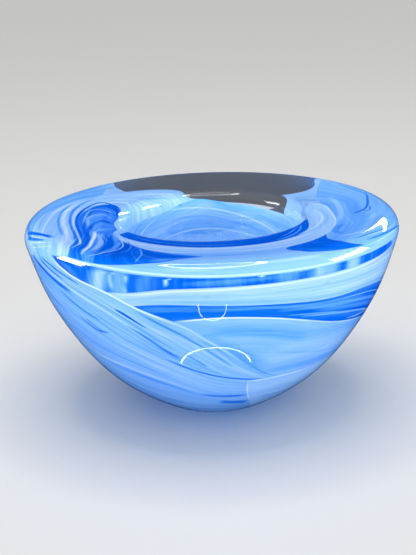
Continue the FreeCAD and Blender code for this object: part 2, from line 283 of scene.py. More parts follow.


# ------------ drawn-out streaks in the colour
# Each stroke: tone from 0 (cobalt) to 1 (white), half width in mm, strength, then its points.
# The places were judged. For about 45 strokes, in the groups on the left of the rim, at the
# far left of the shoulder and on the right of the rim, and for the ring's streaks, places read on
# the reference picture were turned into angle and distance by a short program, then rounded.
STROKES = [
    # front leaf and its crisp white edge
    (1.00, 0.50, 1.0, [(257, 81.2), (264, 82.3), (271, 83), (280, 82.3), (290, 80), (300, 76.3)]),
    (0.90, 0.45, 0.9, [(290, 80), (300, 76.3), (310, 72), (322, 68), (335, 64.5)]),
    (0.66, 2.20, 0.6, [(262, 79.5), (271, 80.5), (282, 79.8), (294, 76), (306, 71), (320, 66)]),
    (0.42, 3.00, 0.6, [(268, 76), (280, 75), (292, 71), (302, 67)]),
    (0.44, 4.50, 0.7, [(265, 74), (273, 67), (281, 59), (290, 51)]),
    (0.74, 7.00, 0.6, [(284, 56), (298, 60), (312, 58), (330, 54)]),
    (0.46, 2.50, 0.5, [(286, 50), (300, 49), (318, 48.5), (335, 47)]),
    (0.72, 0.70, 0.5, [(288, 66), (302, 62), (318, 57), (332, 52)]),
    (0.50, 0.80, 0.5, [(290, 62), (304, 57), (320, 52.5), (334, 50)]),
    # cobalt band, grainy at its right
    (0.50, 1.20, 0.8, [(288, 84.5), (304, 82), (320, 79), (336, 74), (348, 68)]),
    (0.05, 1.30, 0.8, [(292, 82.5), (306, 79.5), (320, 75.5), (336, 70)]),
    (0.62, 0.60, 0.8, [(296, 79.5), (310, 76.5), (324, 72.5), (340, 66)]),
    (0.42, 1.60, 0.7, [(300, 81.5), (314, 78), (328, 74), (344, 68)]),
    (0.55, 0.40, 0.8, [(304, 78), (318, 74), (332, 69.6)]),
    (0.55, 0.40, 0.8, [(292, 81), (304, 78.8), (316, 75.2)]),
    (0.45, 0.90, 0.7, [(268, 87), (282, 86.5), (296, 84.6), (310, 82.4), (326, 79.5)]),
    (0.75, 0.35, 0.7, [(306, 83.5), (320, 81.8), (334, 78), (346, 72)]),
    (0.95, 0.30, 0.8, [(318, 70.6), (330, 68), (341, 66.4), (352, 63)]),
    (0.40, 1.50, 0.5, [(248, 86), (256, 86.8), (266, 87.2), (280, 86.8)]),
    # pale band above it
    (0.95, 0.70, 0.9, [(240, 91.8), (248, 92.9), (256, 94.9), (266, 95.8), (282, 96.2), (300, 96),
        (318, 95.8), (332, 96.4), (346, 98)]),
    (0.60, 1.30, 0.9, [(248, 89), (262, 90.4), (278, 89.6), (292, 88), (306, 86.4), (320, 85.4),
        (334, 83.5), (346, 78.5), (356, 70)]),
    (0.88, 0.60, 0.6, [(262, 92), (280, 91.6), (298, 90.2), (316, 88.6), (334, 87), (350, 80)]),
    (0.62, 0.50, 0.6, [(280, 93.3), (298, 92.4), (316, 91.2), (334, 90), (352, 85)]),
    (0.95, 0.60, 0.6, [(312, 94), (328, 93.4), (342, 93), (356, 90)]),
    # diagonal strand
    (0.97, 0.70, 1.0, [(216, 103), (221, 99), (229, 95), (238, 91.6), (246, 86.6), (252, 83.4),
        (259, 79.8)]),
    (0.80, 0.70, 0.8, [(254, 82), (259, 79.8), (266, 73), (273, 65.4), (280, 56)]),
    (0.28, 0.80, 0.8, [(246, 85), (254, 79), (262, 72), (270, 62.5), (276, 55)]),
    (0.35, 0.50, 0.8, [(277, 62), (284, 53.5), (290, 47.5), (296, 44)]),
    (0.12, 0.50, 1.0, [(210, 100.5), (216, 98), (222, 95.6), (228, 93)]),
    (0.12, 0.45, 0.9, [(208, 99), (214, 96.2), (221, 93)]),
    (0.15, 1.20, 1.0, [(203, 98), (209, 94.4), (215, 91.2), (223, 88)]),
    (0.02, 0.75, 1.0, [(239, 84.8), (243, 82), (246, 79), (248.5, 76.6)]),
    (0.30, 0.90, 0.9, [(242, 77.5), (247, 72.5), (252, 66.5), (258, 60)]),
    (0.30, 0.60, 0.8, [(259, 64.5), (263, 60), (267, 55.4)]),
    (0.20, 0.65, 1.0, [(252, 60), (258, 55.8), (264, 52), (272, 48.4), (281, 45.6), (291, 43.7)]),
    (0.15, 0.50, 0.9, [(222, 76.5), (225.5, 73), (229, 70.8), (234, 71.6)]),
    (0.15, 0.45, 0.9, [(225, 76), (228.5, 72.6), (232, 70.2)]),
    (0.35, 0.80, 0.8, [(216, 87.2), (221, 83.4), (227, 79.6), (232, 77)]),
    (0.85, 0.80, 0.8, [(212, 96), (222, 90.4), (232, 85), (242, 78), (250, 71)]),
    (0.80, 0.60, 0.7, [(220, 94.6), (230, 89.4), (240, 83), (250, 75), (258, 67)]),
    (0.45, 0.50, 0.7, [(224, 91), (234, 86), (243, 79.4), (252, 70.4), (260, 61.6)]),
    (0.78, 0.60, 0.7, [(248, 79), (256, 72), (264, 63.6), (272, 55)]),
    (0.42, 0.60, 0.7, [(230, 80.4), (238, 74.6), (246, 67.6), (254, 60.4)]),
    (0.78, 0.80, 0.6, [(262, 70), (270, 60), (278, 52.4), (287, 46.4)]),
    (0.45, 0.50, 0.6, [(214, 90.6), (224, 85), (234, 78), (244, 70), (253, 61.6)]),
    # left and lower body
    (0.55, 3.00, 0.5, [(196, 92), (206, 82), (216, 73), (228, 65), (240, 58)]),
    (0.80, 0.60, 0.6, [(196, 96), (203, 88), (212, 80), (222, 72.6), (232, 66)]),
    (0.78, 0.50, 0.6, [(200, 80), (208, 72), (218, 64.6), (230, 58.4), (244, 52)]),
    (0.42, 0.70, 0.6, [(204, 84), (212, 76), (222, 68.6), (234, 61.6), (246, 55)]),
    (0.44, 0.70, 0.6, [(212, 68), (224, 61), (238, 54.6), (252, 48)]),
    (0.80, 0.45, 0.6, [(234, 69), (242, 62.6), (250, 56.8), (259, 51)]),
    (0.76, 1.10, 0.8, [(198, 62), (208, 58.6), (222, 52.6), (236, 49), (247, 45), (258, 39.4),
        (270, 33)]),
    (0.38, 1.20, 0.6, [(216, 51.4), (230, 47.4), (243, 43.4), (254, 38), (264, 32)]),
    (0.66, 2.00, 0.6, [(204, 50), (216, 43), (230, 35), (246, 27), (262, 22)]),
    (0.40, 1.50, 0.5, [(208, 44), (222, 36), (238, 28), (254, 21)]),
    (0.66, 0.80, 0.6, [(220, 41), (234, 33.4), (248, 27.4), (264, 24)]),
    (0.22, 2.60, 0.9, [(271, 25.5), (277, 23.6), (283, 22.4), (288, 21.6)]),
    (0.28, 1.30, 0.9, [(262, 34), (270, 32), (277, 31.2), (284.5, 31)]),
    (0.68, 0.50, 0.8, [(262, 31), (270, 28.8), (278, 27.4), (286, 27)]),
    (0.72, 1.10, 0.7, [(240, 15), (256, 11), (272, 9.4), (290, 10.6), (304, 14)]),
    (0.72, 0.90, 0.6, [(246, 8.4), (262, 6), (280, 5.2), (298, 7)]),
    (0.66, 1.00, 0.5, [(228, 26), (244, 19.6), (260, 16), (276, 15)]),
    # light patch beside the foot
    (1.00, 0.45, 1.0, [(282.4, 43.5), (290, 43.5), (300, 43.6), (314, 43.6)]),
    (0.84, 0.40, 0.8, [(308, 43.6), (322, 43.6), (338, 43.2), (352, 42.4)]),
    (0.92, 0.40, 0.9, [(283, 43.6), (283.4, 38), (285.2, 31), (288, 24)]),
    (0.72, 3.50, 0.6, [(290, 36), (304, 36.6), (320, 37), (336, 36)]),
    (0.46, 2.50, 0.5, [(292, 26), (306, 25), (322, 25)]),
    # pale sweep round the left of the rim, and its bends
    (0.92, 0.60, 0.8, [(152, 118), (168, 116.6), (184, 115), (198, 111.6), (208, 107.4)]),
    (0.50, 0.60, 0.7, [(150, 116), (168, 114.6), (184, 112.6), (198, 109.4)]),
    (0.92, 0.90, 0.8, [(150, 131), (160, 127.6), (146, 137), (152, 142.6)]),
    (0.90, 0.80, 0.7, [(112, 140), (122, 136.4), (134, 133.6), (146, 131.4)]),
    (0.55, 0.80, 0.6, [(112, 143.6), (124, 140.6), (136, 139), (148, 140)]),
    (0.40, 0.70, 0.9, [(143, 122), (156, 119.8), (168, 118.6), (184, 119), (198, 118.4), (209, 116.6)]),
    (0.93, 1.20, 0.9, [(151, 120.4), (162, 120), (176, 120.6), (190, 121), (204, 119.4), (215, 113.8),
        (218, 108)]),
    (0.28, 0.80, 1.0, [(149, 122.6), (161, 122.4), (174, 123.2), (188, 123.8), (202, 122.8),
        (213, 119), (219, 113)]),
    (0.86, 0.70, 1.0, [(160, 124), (173, 124.8), (188, 125.2), (202, 124), (213, 120.8), (220, 116),
        (222, 111)]),
    (0.88, 2.60, 0.9, [(205, 117), (213, 112.6), (219, 108), (221, 104)]),
    (0.80, 1.20, 0.7, [(200, 112), (208, 109.6), (214, 106)]),
    # hook and swirl on the left of the rim
    (0.24, 1.60, 0.8, [(168, 127), (182, 127.6), (194, 127), (208, 124.4), (219, 119.6)]),
    (0.06, 0.70, 1.0, [(174, 143), (163, 140), (154, 134.6), (152.6, 129), (159, 127), (168, 126.6),
        (182, 126.4), (195, 125.8)]),
    (0.62, 0.50, 0.9, [(172, 140), (165, 136), (164.6, 131.4), (172, 129.6), (184, 129.6),
        (195, 128.6)]),
    (0.10, 0.60, 0.9, [(178, 142.6), (169, 138.4), (168, 133), (176, 131), (188, 130), (200, 127.6)]),
    (0.52, 1.10, 0.9, [(183, 140.6), (173.6, 136), (177, 132.6), (188, 131), (201, 129.4)]),
    (0.06, 1.30, 0.9, [(194, 140.6), (186, 136.8), (191, 133.6), (206, 129)]),
    (0.44, 2.20, 0.9, [(203, 140), (203.6, 135.4), (206, 132)]),
    (0.12, 1.00, 1.0, [(205, 127), (214, 124.4), (220, 119.6), (224, 113.6), (226, 109)]),
    (0.86, 1.70, 0.95, [(212, 119), (217.6, 113.6), (221, 109), (223, 103.6)]),
    (0.72, 1.60, 0.9, [(209, 131.4), (219, 127), (226, 120.4), (230, 112.4)]),
    (0.94, 1.00, 1.0, [(204, 131), (213, 127.4), (220, 121.8), (225.4, 115.6), (228, 108.6)]),
    (0.12, 0.50, 0.9, [(214, 132), (225, 126.6), (230, 120.4), (231.6, 115)]),
    (0.16, 0.40, 0.9, [(212, 130.8), (222.6, 126), (228, 121), (229.4, 117)]),
    (0.45, 1.80, 0.9, [(211, 137.4), (223, 131.6), (230, 126), (233.4, 118.4), (232.6, 112)]),
    (0.88, 0.40, 0.9, [(218, 135), (230, 129), (234.6, 123), (235, 118), (233.6, 113), (230, 108.6)]),
    (0.34, 0.50, 0.8, [(222, 135.6), (234, 129), (238.6, 122), (238, 116), (235, 110.6)]),
    (0.50, 0.50, 0.7, [(240, 127), (245, 120), (247, 113), (247, 109.6)]),
    (0.50, 1.10, 0.7, [(252, 123.6), (262, 121), (272, 119.4), (282, 118.6)]),
    # cobalt corner at the far left of the shoulder, with pale threads
    (0.10, 1.40, 1.0, [(191, 104), (197, 107), (203, 110.4), (208, 112.6)]),
    (0.16, 1.40, 0.9, [(194, 102.6), (201, 105.6), (207, 109)]),
    (0.88, 0.40, 1.0, [(196, 104.6), (202, 107), (208, 110.2)]),
    (0.88, 0.50, 1.0, [(199, 102), (204, 105), (211, 109)]),
    (0.86, 0.40, 0.9, [(202, 101), (208, 104.4), (214, 107.6)]),
    # front of the rim
    (0.90, 0.80, 0.8, [(218, 104.4), (230, 104.8), (244, 104.4), (260, 103.4), (280, 102.8),
        (300, 102.2), (320, 101.8)]),
    (0.50, 1.20, 0.6, [(250, 111.6), (262, 116.4), (276, 119.4), (290, 119.2)]),
    (0.84, 1.60, 0.6, [(256, 106), (272, 108), (290, 109), (304, 107)]),
    (0.88, 1.10, 0.9, [(214, 136), (228, 132.8), (244, 131.4), (262, 130.8), (280, 130.2), (300, 130),
        (318, 131.6), (336, 135.6), (350, 139)]),
    (0.60, 1.00, 0.8, [(236, 129), (252, 126.6), (268, 126.4), (286, 126), (304, 124.6), (318, 126.4)]),
    (0.85, 0.50, 0.7, [(320, 104.6), (334, 103.6), (350, 101.6), (368, 99.6)]),
    (0.98, 0.45, 0.8, [(321, 125), (332, 127.6), (346, 130.7), (360, 133), (373, 134.8),
        (377.6, 137.6)]),
    (0.66, 1.10, 0.7, [(314, 132.4), (328, 132.6), (342, 133.4), (356, 135), (368, 138)]),
    (0.95, 0.60, 0.7, [(312, 134), (325, 134.2), (340, 135.2), (354, 137), (364, 140)]),
    # lip crescent
    (0.50, 0.50, 0.8, [(298, 133.4), (312, 135.4), (324, 139), (334, 143.6)]),
    (0.55, 0.40, 0.8, [(304, 136.6), (318, 139.6), (330, 144)]),
    (0.45, 0.50, 0.7, [(222, 140), (240, 138), (262, 136.6), (286, 135.8)]),
    (0.00, 0.90, 0.9, [(241, 136.8), (246, 136.4), (252, 136.2)]),
    # right of the rim
    (0.16, 0.70, 1.0, [(351, 124), (354, 121.4), (357, 119), (363, 116.5), (372, 113.5), (381, 109)]),
    (0.16, 0.40, 1.0, [(356, 119.6), (354.6, 117.6), (357, 116.4), (361, 116.2)]),
    (0.56, 3.00, 0.6, [(362, 122), (374, 118.6), (388, 114)]),
    (0.68, 2.40, 0.6, [(340, 118), (350, 113.6), (362, 110), (374, 106.6)]),
    (0.36, 2.00, 0.8, [(322.6, 119), (323.4, 122.4), (328, 125), (336, 125.6)]),
    (0.76, 1.20, 0.8, [(318, 118), (323, 115), (331, 111.4), (340, 108)]),
    (0.66, 0.60, 0.7, [(330, 121), (338, 122), (345, 126)]),
    (0.16, 0.50, 0.9, [(317, 112.4), (327, 109.6), (337, 106.6), (352, 102)]),
    (0.20, 0.60, 0.9, [(322, 107.6), (330, 106), (340, 103.8), (352, 100.6)]),
    (0.82, 0.60, 0.7, [(322, 110), (332, 107.6), (344, 104.4), (358, 101)]),
    (0.80, 1.60, 0.6, [(340, 128), (352, 128.6), (368, 128), (384, 126)]),
    (0.82, 0.70, 0.6, [(350, 106.6), (364, 104), (378, 101.8)]),
    # far shoulder, back and sides
    (0.25, 0.80, 0.7, [(16, 111), (26, 111.4), (36, 111)]),
    (0.25, 0.80, 0.7, [(134, 111.6), (146, 111), (158, 110.4)]),
    (0.90, 0.70, 0.7, [(2, 94), (20, 93.6), (40, 92), (52, 86)]),
    (0.55, 1.50, 0.6, [(0, 84), (20, 78), (40, 70), (66, 62), (96, 60)]),
    (0.92, 0.70, 0.7, [(4, 56), (30, 50), (60, 46), (90, 47), (116, 56), (140, 70), (164, 82),
        (186, 92)]),
    (0.20, 1.30, 0.7, [(10, 52), (36, 45), (66, 41), (94, 43), (120, 52), (146, 66), (168, 76)]),
    (0.80, 1.00, 0.6, [(60, 70), (84, 66), (108, 70), (130, 82), (150, 92), (170, 97)]),
    (0.35, 1.20, 0.6, [(124, 92), (140, 96.6), (160, 98), (180, 98)]),
    (0.75, 1.00, 0.6, [(100, 40), (126, 48), (152, 58), (178, 64), (196, 68)]),
    (0.30, 1.30, 0.6, [(110, 36), (134, 44), (158, 53), (182, 59), (200, 62)]),
    (0.75, 1.00, 0.6, [(20, 36), (50, 34), (80, 34), (104, 38)]),
    (0.70, 1.30, 0.6, [(40, 20), (80, 18), (120, 24), (160, 36), (196, 46)]),
    (0.35, 1.50, 0.6, [(30, 12), (80, 10), (130, 15), (180, 28), (214, 34)]),
    (0.70, 1.00, 0.6, [(150, 40), (176, 50), (200, 54)]),
    # walls of the hollow
    (0.88, 0.60, 0.8, [(24, 164), (46, 158.6), (70, 154), (98, 150.6), (124, 150.4)]),
    (0.50, 0.90, 0.8, [(30, 166), (52, 161), (76, 157), (100, 154.6), (126, 155)]),
    (0.85, 0.50, 0.7, [(40, 166.4), (62, 163), (88, 160.6), (112, 161.4), (134, 165)]),
    (0.90, 0.50, 0.8, [(128, 152.6), (140, 156), (152, 160.4), (164, 165)]),
    (0.45, 0.80, 0.7, [(136, 151.6), (150, 155), (162, 159.4), (176, 165.6)]),
    (0.90, 0.60, 0.7, [(340, 166), (356, 160.4), (372, 155.4), (388, 152.4)]),
    (0.88, 0.60, 0.7, [(200, 160), (230, 164), (262, 168), (292, 170)]),
    (0.45, 1.00, 0.7, [(190, 156), (222, 158.6), (256, 162), (290, 164.6), (322, 163)]),
    (0.85, 0.60, 0.7, [(300, 156), (322, 157), (344, 155)]),
    (0.35, 1.60, 0.7, [(20, 180), (80, 176), (140, 180), (200, 188), (260, 190), (330, 184)]),
    (0.80, 1.40, 0.7, [(0, 190), (70, 186), (140, 190), (210, 200), (280, 202), (350, 192)]),
]
# The tones of the blue glass, from cobalt to nearly white
TONES = [(0.00, (0.000, 0.092, 0.56)), (0.15, (0.003, 0.15, 0.74)), (0.35, (0.065, 0.29, 0.85)),
         (0.50, (0.15, 0.42, 0.87)), (0.65, (0.27, 0.53, 0.88)), (0.80, (0.42, 0.65, 0.89)),
         (1.00, (0.74, 0.87, 0.94))]
# What shows through the clear gap at the shoulder: mostly upright streaks, deeper in the glass, and two
# short pure white upright strokes that are painted highlights
WINDOW_STREAKS_AND_HIGHLIGHTS = [
    (0.42, 4.5, 0.8, [(211, 101), (219, 97), (227, 92)]),
    (0.10, 1.8, 0.8, [(218, 104), (224, 100), (229, 95)]),
    (0.66, 6.0, 0.7, [(231, 88), (235, 96), (238, 105)]),
    (0.88, 2.6, 0.7, [(232, 89), (235, 96), (237, 103)]),
    (0.78, 4.0, 0.6, [(240, 88), (242, 97), (243, 105)]),
    (0.95, 0.8, 0.7, [(238.6, 92), (239.4, 98), (241, 103)]),
    (0.95, 0.7, 0.7, [(243.6, 91), (244, 96), (245.4, 101)]),
    (0.45, 3.0, 0.6, [(248, 91), (250, 98), (251, 105)]),
    # painted highlight: a short pure white upright stroke where a lamp's reflection shows
    (1.00, 0.9, 1.0, [(256.2, 96), (256.8, 98.6), (257.4, 101)]),
    (0.08, 5.0, 0.8, [(262, 94), (266, 105)]),
    (0.24, 7.0, 0.6, [(274, 94), (278, 105)]),
    (0.48, 1.0, 0.6, [(260, 96.8), (276, 97.4), (290, 97.8)]),
    # painted highlight: a short pure white upright stroke where a lamp's reflection shows
    (1.00, 1.0, 1.0, [(282.6, 98.6), (283.6, 99.8), (284.6, 100.8)]),
    (0.60, 6.0, 0.6, [(290, 94), (294, 105)]),
    (0.80, 8.0, 0.8, [(303, 92), (305, 105)]),
    (1.00, 1.0, 1.0, [(293, 100.8), (302, 101.4), (312, 101.2)]),
    (0.55, 0.8, 0.7, [(290, 98.4), (302, 98.8), (314, 98.6)]),
    (0.10, 7.0, 0.95, [(328, 90), (330, 107)]),
    (0.80, 6.0, 1.0, [(341, 88), (343, 106)]),
    (0.80, 9.0, 1.0, [(350, 88), (351, 106)]),
    (0.78, 5.0, 0.9, [(314, 90), (316, 106)]),
    (0.50, 0.7, 0.7, [(314, 98), (322, 98.6), (330, 98.8)]),
]


# ------------ materials
def node_material(name):
    mat = bpy.data.materials.new(name)
    mat.use_nodes = True
    tree = mat.node_tree
    tree.nodes.clear()
    out = tree.nodes.new("ShaderNodeOutputMaterial")
    return mat, tree, out


def add_node(tree, kind, values=None, operation=None):
    """A new shader node of a kind, with some inputs set by name or number."""
    node = tree.nodes.new("ShaderNode" + kind)
    if operation:
        node.operation = operation
    for key, value in (values or {}).items():
        node.inputs[key].default_value = value
    return node


def clear_glass(name):
    """Clear glass that lets the lamps' light straight through to the colours inside it."""
    mat, tree, out = node_material(name)
    link = tree.links.new
    glass = add_node(tree, "BsdfPrincipled", {
        "Base Color": (0.98, 0.99, 1, 1), "Roughness": 0, "IOR": 1.5, "Transmission Weight": 1})
    through = add_node(tree, "BsdfTransparent")
    path = add_node(tree, "LightPath")
    mix = add_node(tree, "MixShader")
    link(path.outputs["Is Shadow Ray"], mix.inputs[0])
    link(glass.outputs[0], mix.inputs[1])
    link(through.outputs[0], mix.inputs[2])
    link(mix.outputs[0], out.inputs[0])
    return mat


SWAY_SCALE, SWAY_REACH = 0.035, 7                       # how often and how far, in mm, streaks bend
FINE_NOISE, BROAD_NOISE = (0.02, 0.75), (0.012, 0.16)   # turns per mm along and across the flow


def streaked(name, fine, broad, seed, thin=0.35):
    """Opal glass drawn out in silky streaks: the flow map's x runs along them and y across, in mm."""
    mat, tree, out = node_material(name)
    link = tree.links.new
    uv = add_node(tree, "UVMap")
    uv.uv_map = "flow"
    tone = add_node(tree, "Attribute")
    tone.attribute_name = "tone"
    sway = add_node(tree, "TexNoise", {"Scale": SWAY_SCALE, "Detail": 1})
    link(uv.outputs[0], sway.inputs["Vector"])
    bent = add_node(tree, "VectorMath", {1: (0, SWAY_REACH, 0)}, "MULTIPLY_ADD")
    link(sway.outputs["Color"], bent.inputs[0])
    link(uv.outputs[0], bent.inputs[2])
    total = tone.outputs["Fac"]
    for number, ((along, across), amount) in enumerate(((FINE_NOISE, fine), (BROAD_NOISE, broad))):
        shift = (seed, seed * 3.7, seed * 1.3 + number * 5)
        scale = add_node(tree, "VectorMath", {1: (along, across, 1), 2: shift},
                         "MULTIPLY_ADD")
        link(bent.outputs[0], scale.inputs[0])
        noise = add_node(tree, "TexNoise", {"Scale": 1, "Detail": 3, "Roughness": 0.6})
        link(scale.outputs[0], noise.inputs["Vector"])
        spread = add_node(tree, "Math", {1: amount, 2: -amount / 2}, "MULTIPLY_ADD")
        link(noise.outputs["Fac"], spread.inputs[0])
        added = add_node(tree, "Math", operation="ADD")
        link(total, added.inputs[0])
        link(spread.outputs[0], added.inputs[1])
        total = added.outputs[0]
    ramp = add_node(tree, "ValToRGB")
    while len(ramp.color_ramp.elements) < len(TONES):
        ramp.color_ramp.elements.new(0.5)
    for element, (place, colour) in zip(ramp.color_ramp.elements, TONES):
        element.position = place
        element.color = (*colour, 1)
    link(total, ramp.inputs[0])
    solid = add_node(tree, "BsdfPrincipled", {"Roughness": 0.6, "Specular IOR Level": 0})
    link(ramp.outputs[0], solid.inputs["Base Color"])
    glow = add_node(tree, "BsdfTranslucent")
    link(ramp.outputs[0], glow.inputs["Color"])
    mix = add_node(tree, "MixShader", {0: thin})
    link(solid.outputs[0], mix.inputs[1])
    link(glow.outputs[0], mix.inputs[2])
    link(mix.outputs[0], out.inputs[0])
    return mat


# ------------ meshes
def make_object(name, verts, faces, material, smooth=True):
    mesh = bpy.data.meshes.new(name)
    mesh.from_pydata([tuple(v) for v in verts], [], faces)
    mesh.materials.append(material)
    mesh.polygons.foreach_set("use_smooth", [smooth] * len(mesh.polygons))
    obj = bpy.data.objects.new(name, mesh)
    bpy.context.scene.collection.objects.link(obj)
    return obj


def revolved(name, material, depth, counts, turns=256):
    """A closed skin of revolution, with so many rings in each span of the section."""
    s = rows_along(counts)
    angles = np.arange(turns) * 360 / turns
    inner = s[1:-1]
    grid_a, grid_s = np.meshgrid(angles, inner)
    verts = in_space(grid_a.ravel(), grid_s.ravel(), depth)
    first, last = (in_space(np.array([0.0]), np.array([e]), depth)[0] for e in (s[0], s[-1]))
    verts = np.vstack([verts, first * (0, 0, 1), last * (0, 0, 1)])
    count = len(inner)
    faces = []
    for i in range(count - 1):
        for j in range(turns):
            k = (j + 1) % turns
            faces.append((i * turns + j, i * turns + k, (i + 1) * turns + k, (i + 1) * turns + j))
    for j in range(turns):
        k = (j + 1) % turns
        faces.append((count * turns, k, j))
        faces.append((count * turns + 1, (count - 1) * turns + j, (count - 1) * turns + k))
    return make_object(name, verts, faces, material)


def degree_length(s):
    """How many mm one degree is, at section distances s."""
    return np.maximum(on_section(s, CASING)[0], 0.5) * math.pi / 180


def stroke_lines(points, width):
    """The stroke's middle line, and lines beside it where it has faded by half and fully."""
    path = smooth_path(points, STROKE_STEPS)
    scale = degree_length(path[:, 1])
    run = np.gradient(path, axis=0) * np.stack([scale, np.ones(len(path))], -1)
    run /= np.hypot(*run.T)[:, None]
    side = np.stack([-run[:, 1] / scale, run[:, 0]], -1)
    return [path + side * width * share for share in (-1, -0.45, 0, 0.45, 1)]


SIDE_MARGIN = 6        # degrees of a line kept beyond the cut at angle 0
RIM_STEPS = 72         # points round the layer's first and last row
FILL_STEP = 2.0        # degrees between the points that fill the layer
FILL_SWAY = (0.15, 0.1)
MERGE = 1e-5
SAME_PLACE = 1e-4


def triangulate():
    """Cuts the whole colour layer along the seams. Returns points, triangles and each one's wrap."""
    rng = random.Random(7)
    points, edges = [], []
    rows = rows_along(LAYER_ROWS)

    def add_line(path):
        for turn in (-720, -360, 0, 360):
            shifted = path + (turn, 0)
            keep = (shifted[:, 0] > -SIDE_MARGIN) & (shifted[:, 0] < 360 + SIDE_MARGIN)
            if keep.sum() < 2:
                continue
            start = len(points)
            points.extend(tuple(p) for p in shifted)
            for i in range(len(shifted) - 1):
                if keep[i] or keep[i + 1]:
                    edges.append((start + i, start + i + 1))

    for path in PATHS.values():
        add_line(path)
    seam_edges = len(edges)
    for _, width, _, corners in STROKES:
        for line in stroke_lines(corners, width):
            add_line(line)
    for side in (0.0, 360.0):
        start = len(points)
        points += [(side, s) for s in rows]
        edges += [(start + i, start + i + 1) for i in range(len(rows) - 1)]
    for s in (rows[0], rows[-1]):
        start = len(points)
        points += [(a, s) for a in np.linspace(0, 360, RIM_STEPS + 1)]
        edges += [(start + i, start + i + 1) for i in range(RIM_STEPS)]
    sway_a, sway_s = FILL_SWAY
    for number, s in enumerate(rows[1:-1]):
        first = FILL_STEP / 2 if number % 2 else FILL_STEP
        for a in np.arange(first, 360 - FILL_STEP / 4, FILL_STEP):
            points.append((a + rng.uniform(-sway_a, sway_a), s + rng.uniform(-sway_s, sway_s)))
    verts, out_edges, tris, _, from_edges, _ = delaunay_2d_cdt(
        [Vector(p) for p in points], edges, [], 0, MERGE, True)
    flat = np.array([tuple(v) for v in verts])
    tris = np.array(tris)
    middle = flat[tris].mean(axis=1)
    tris = tris[(middle[:, 0] > 0) & (middle[:, 0] < 360)
                & (middle[:, 1] > rows[0]) & (middle[:, 1] < rows[-1])]
    # The two sides of the cut at angle 0 are one line
    same = np.arange(len(flat))
    left = np.flatnonzero(np.abs(flat[:, 0]) < SAME_PLACE)
    for a in np.flatnonzero(np.abs(flat[:, 0] - 360) < SAME_PLACE):
        same[a] = left[np.abs(flat[left, 1] - flat[a, 1]).argmin()]
    barrier = set()
    for (a, b), sources in zip(out_edges, from_edges):
        if any(e < seam_edges for e in sources):
            barrier.add((min(same[a], same[b]), max(same[a], same[b])))
    beside = {}
    for t, tri in enumerate(same[tris]):
        for a, b in ((tri[0], tri[1]), (tri[1], tri[2]), (tri[2], tri[0])):
            beside.setdefault((min(a, b), max(a, b)), []).append(t)
    near = [[] for _ in tris]
    for key, owners in beside.items():
        if key not in barrier and len(owners) == 2:
            near[owners[0]].append(owners[1])
            near[owners[1]].append(owners[0])
    centre = flat[tris].mean(axis=1)
    owner = np.full(len(tris), -1)
    for number, probe in enumerate(PROBES.values()):
        start = int(np.argmin(np.hypot(centre[:, 0] - probe[0], centre[:, 1] - probe[1])))
        stack = [start]
        owner[start] = number
        while stack:
            for t in near[stack.pop()]:
                if owner[t] < 0:
                    owner[t] = number
                    stack.append(t)
    return flat, tris, same, owner


TYPICAL_DEGREE = 1.1   # mm that one degree is at a radius of about 63 mm
FAR_SIDE = 30          # degrees beyond which a seam's repeat is too far to be the nearest


def nearest(flat, names):
    """Distance from each point to some seams, in mm, and how far along them the nearest point is."""
    best = np.full(len(flat), 1e9)
    along = np.zeros(len(flat))
    for name in names:
        path = PATHS[name]
        run = run_lengths(path, (TYPICAL_DEGREE, 1))
        for turn in (-720, -360, 0, 360):
            line = path + (turn, 0)
            if line[:, 0].max() < -FAR_SIDE or line[:, 0].min() > 360 + FAR_SIDE:
                continue
            gap = np.hypot((flat[:, None, 0] - line[None, :, 0]) * TYPICAL_DEGREE,
                           flat[:, None, 1] - line[None, :, 1])
            k = gap.argmin(axis=1)
            least = gap[np.arange(len(flat)), k]
            closer = least < best
            best[closer] = least[closer]
            along[closer] = run[k][closer]
    return best, along


SOFT_EDGE = 0.55       # share of a stroke's half width over which it fades sideways
TAPER = 0.18           # share of its length over which it fades at each end
END_WEIGHT = 0.25      # how strong it still is there, before it stops
STOP = 8               # how sharply it stops


def paint(flat, base, strokes):
    """The tone at each point: the wrap's own, with the strokes drawn over it."""
    tone = np.full(len(flat), float(base))
    scale = degree_length(flat[:, 1])
    for level, width, strength, corners in strokes:
        path = smooth_path(corners, STROKE_STEPS)
        for turn in (-360, 0, 360):
            line = path + (turn, 0)
            reach = 2 * width + 1
            low, high = line.min(axis=0) - reach, line.max(axis=0) + reach
            picked = np.flatnonzero((flat[:, 0] > low[0]) & (flat[:, 0] < high[0])
                                    & (flat[:, 1] > low[1]) & (flat[:, 1] < high[1]))
            if not len(picked):
                continue
            place = flat[picked][:, None, :]
            step = np.diff(line, axis=0)
            size = np.stack([scale[picked], np.ones(len(picked))], -1)[:, None, :]
            offset = (place - line[:-1]) * size
            run = step[None] * size
            share = np.clip((offset * run).sum(-1) / (run ** 2).sum(-1), 0, 1)
            gap = np.hypot(*np.moveaxis(offset - run * share[..., None], -1, 0))
            k = gap.argmin(axis=1)
            rows = np.arange(len(picked))
            distance = gap[rows, k]
            travelled = (k + share[rows, k]) / len(step)
            ends = np.clip(np.minimum(travelled, 1 - travelled) / TAPER, 0, 1)
            core = np.clip((width - distance) / (width * SOFT_EDGE), 0, 1)
            fade = END_WEIGHT + (1 - END_WEIGHT) * ends
            weight = strength * core * fade * np.clip(ends * STOP, 0, 1)
            tone[picked] += (level - tone[picked]) * weight
    return tone


FLAT, TRIS, SAME, OWNER = triangulate()


def finish_wrap(obj, name, flow, tones):
    """Gives a wrap its flow map and tones, and puts it in the place of its CAD node."""
    loops = np.empty(len(obj.data.loops), int)
    obj.data.loops.foreach_get("vertex_index", loops)
    obj.data.uv_layers.new(name="flow").data.foreach_set("uv", flow[loops].ravel())
    tone = obj.data.attributes.new("tone", "FLOAT", "POINT")
    tone.data.foreach_set("value", tones)
    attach(obj, "root")
    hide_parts(name)


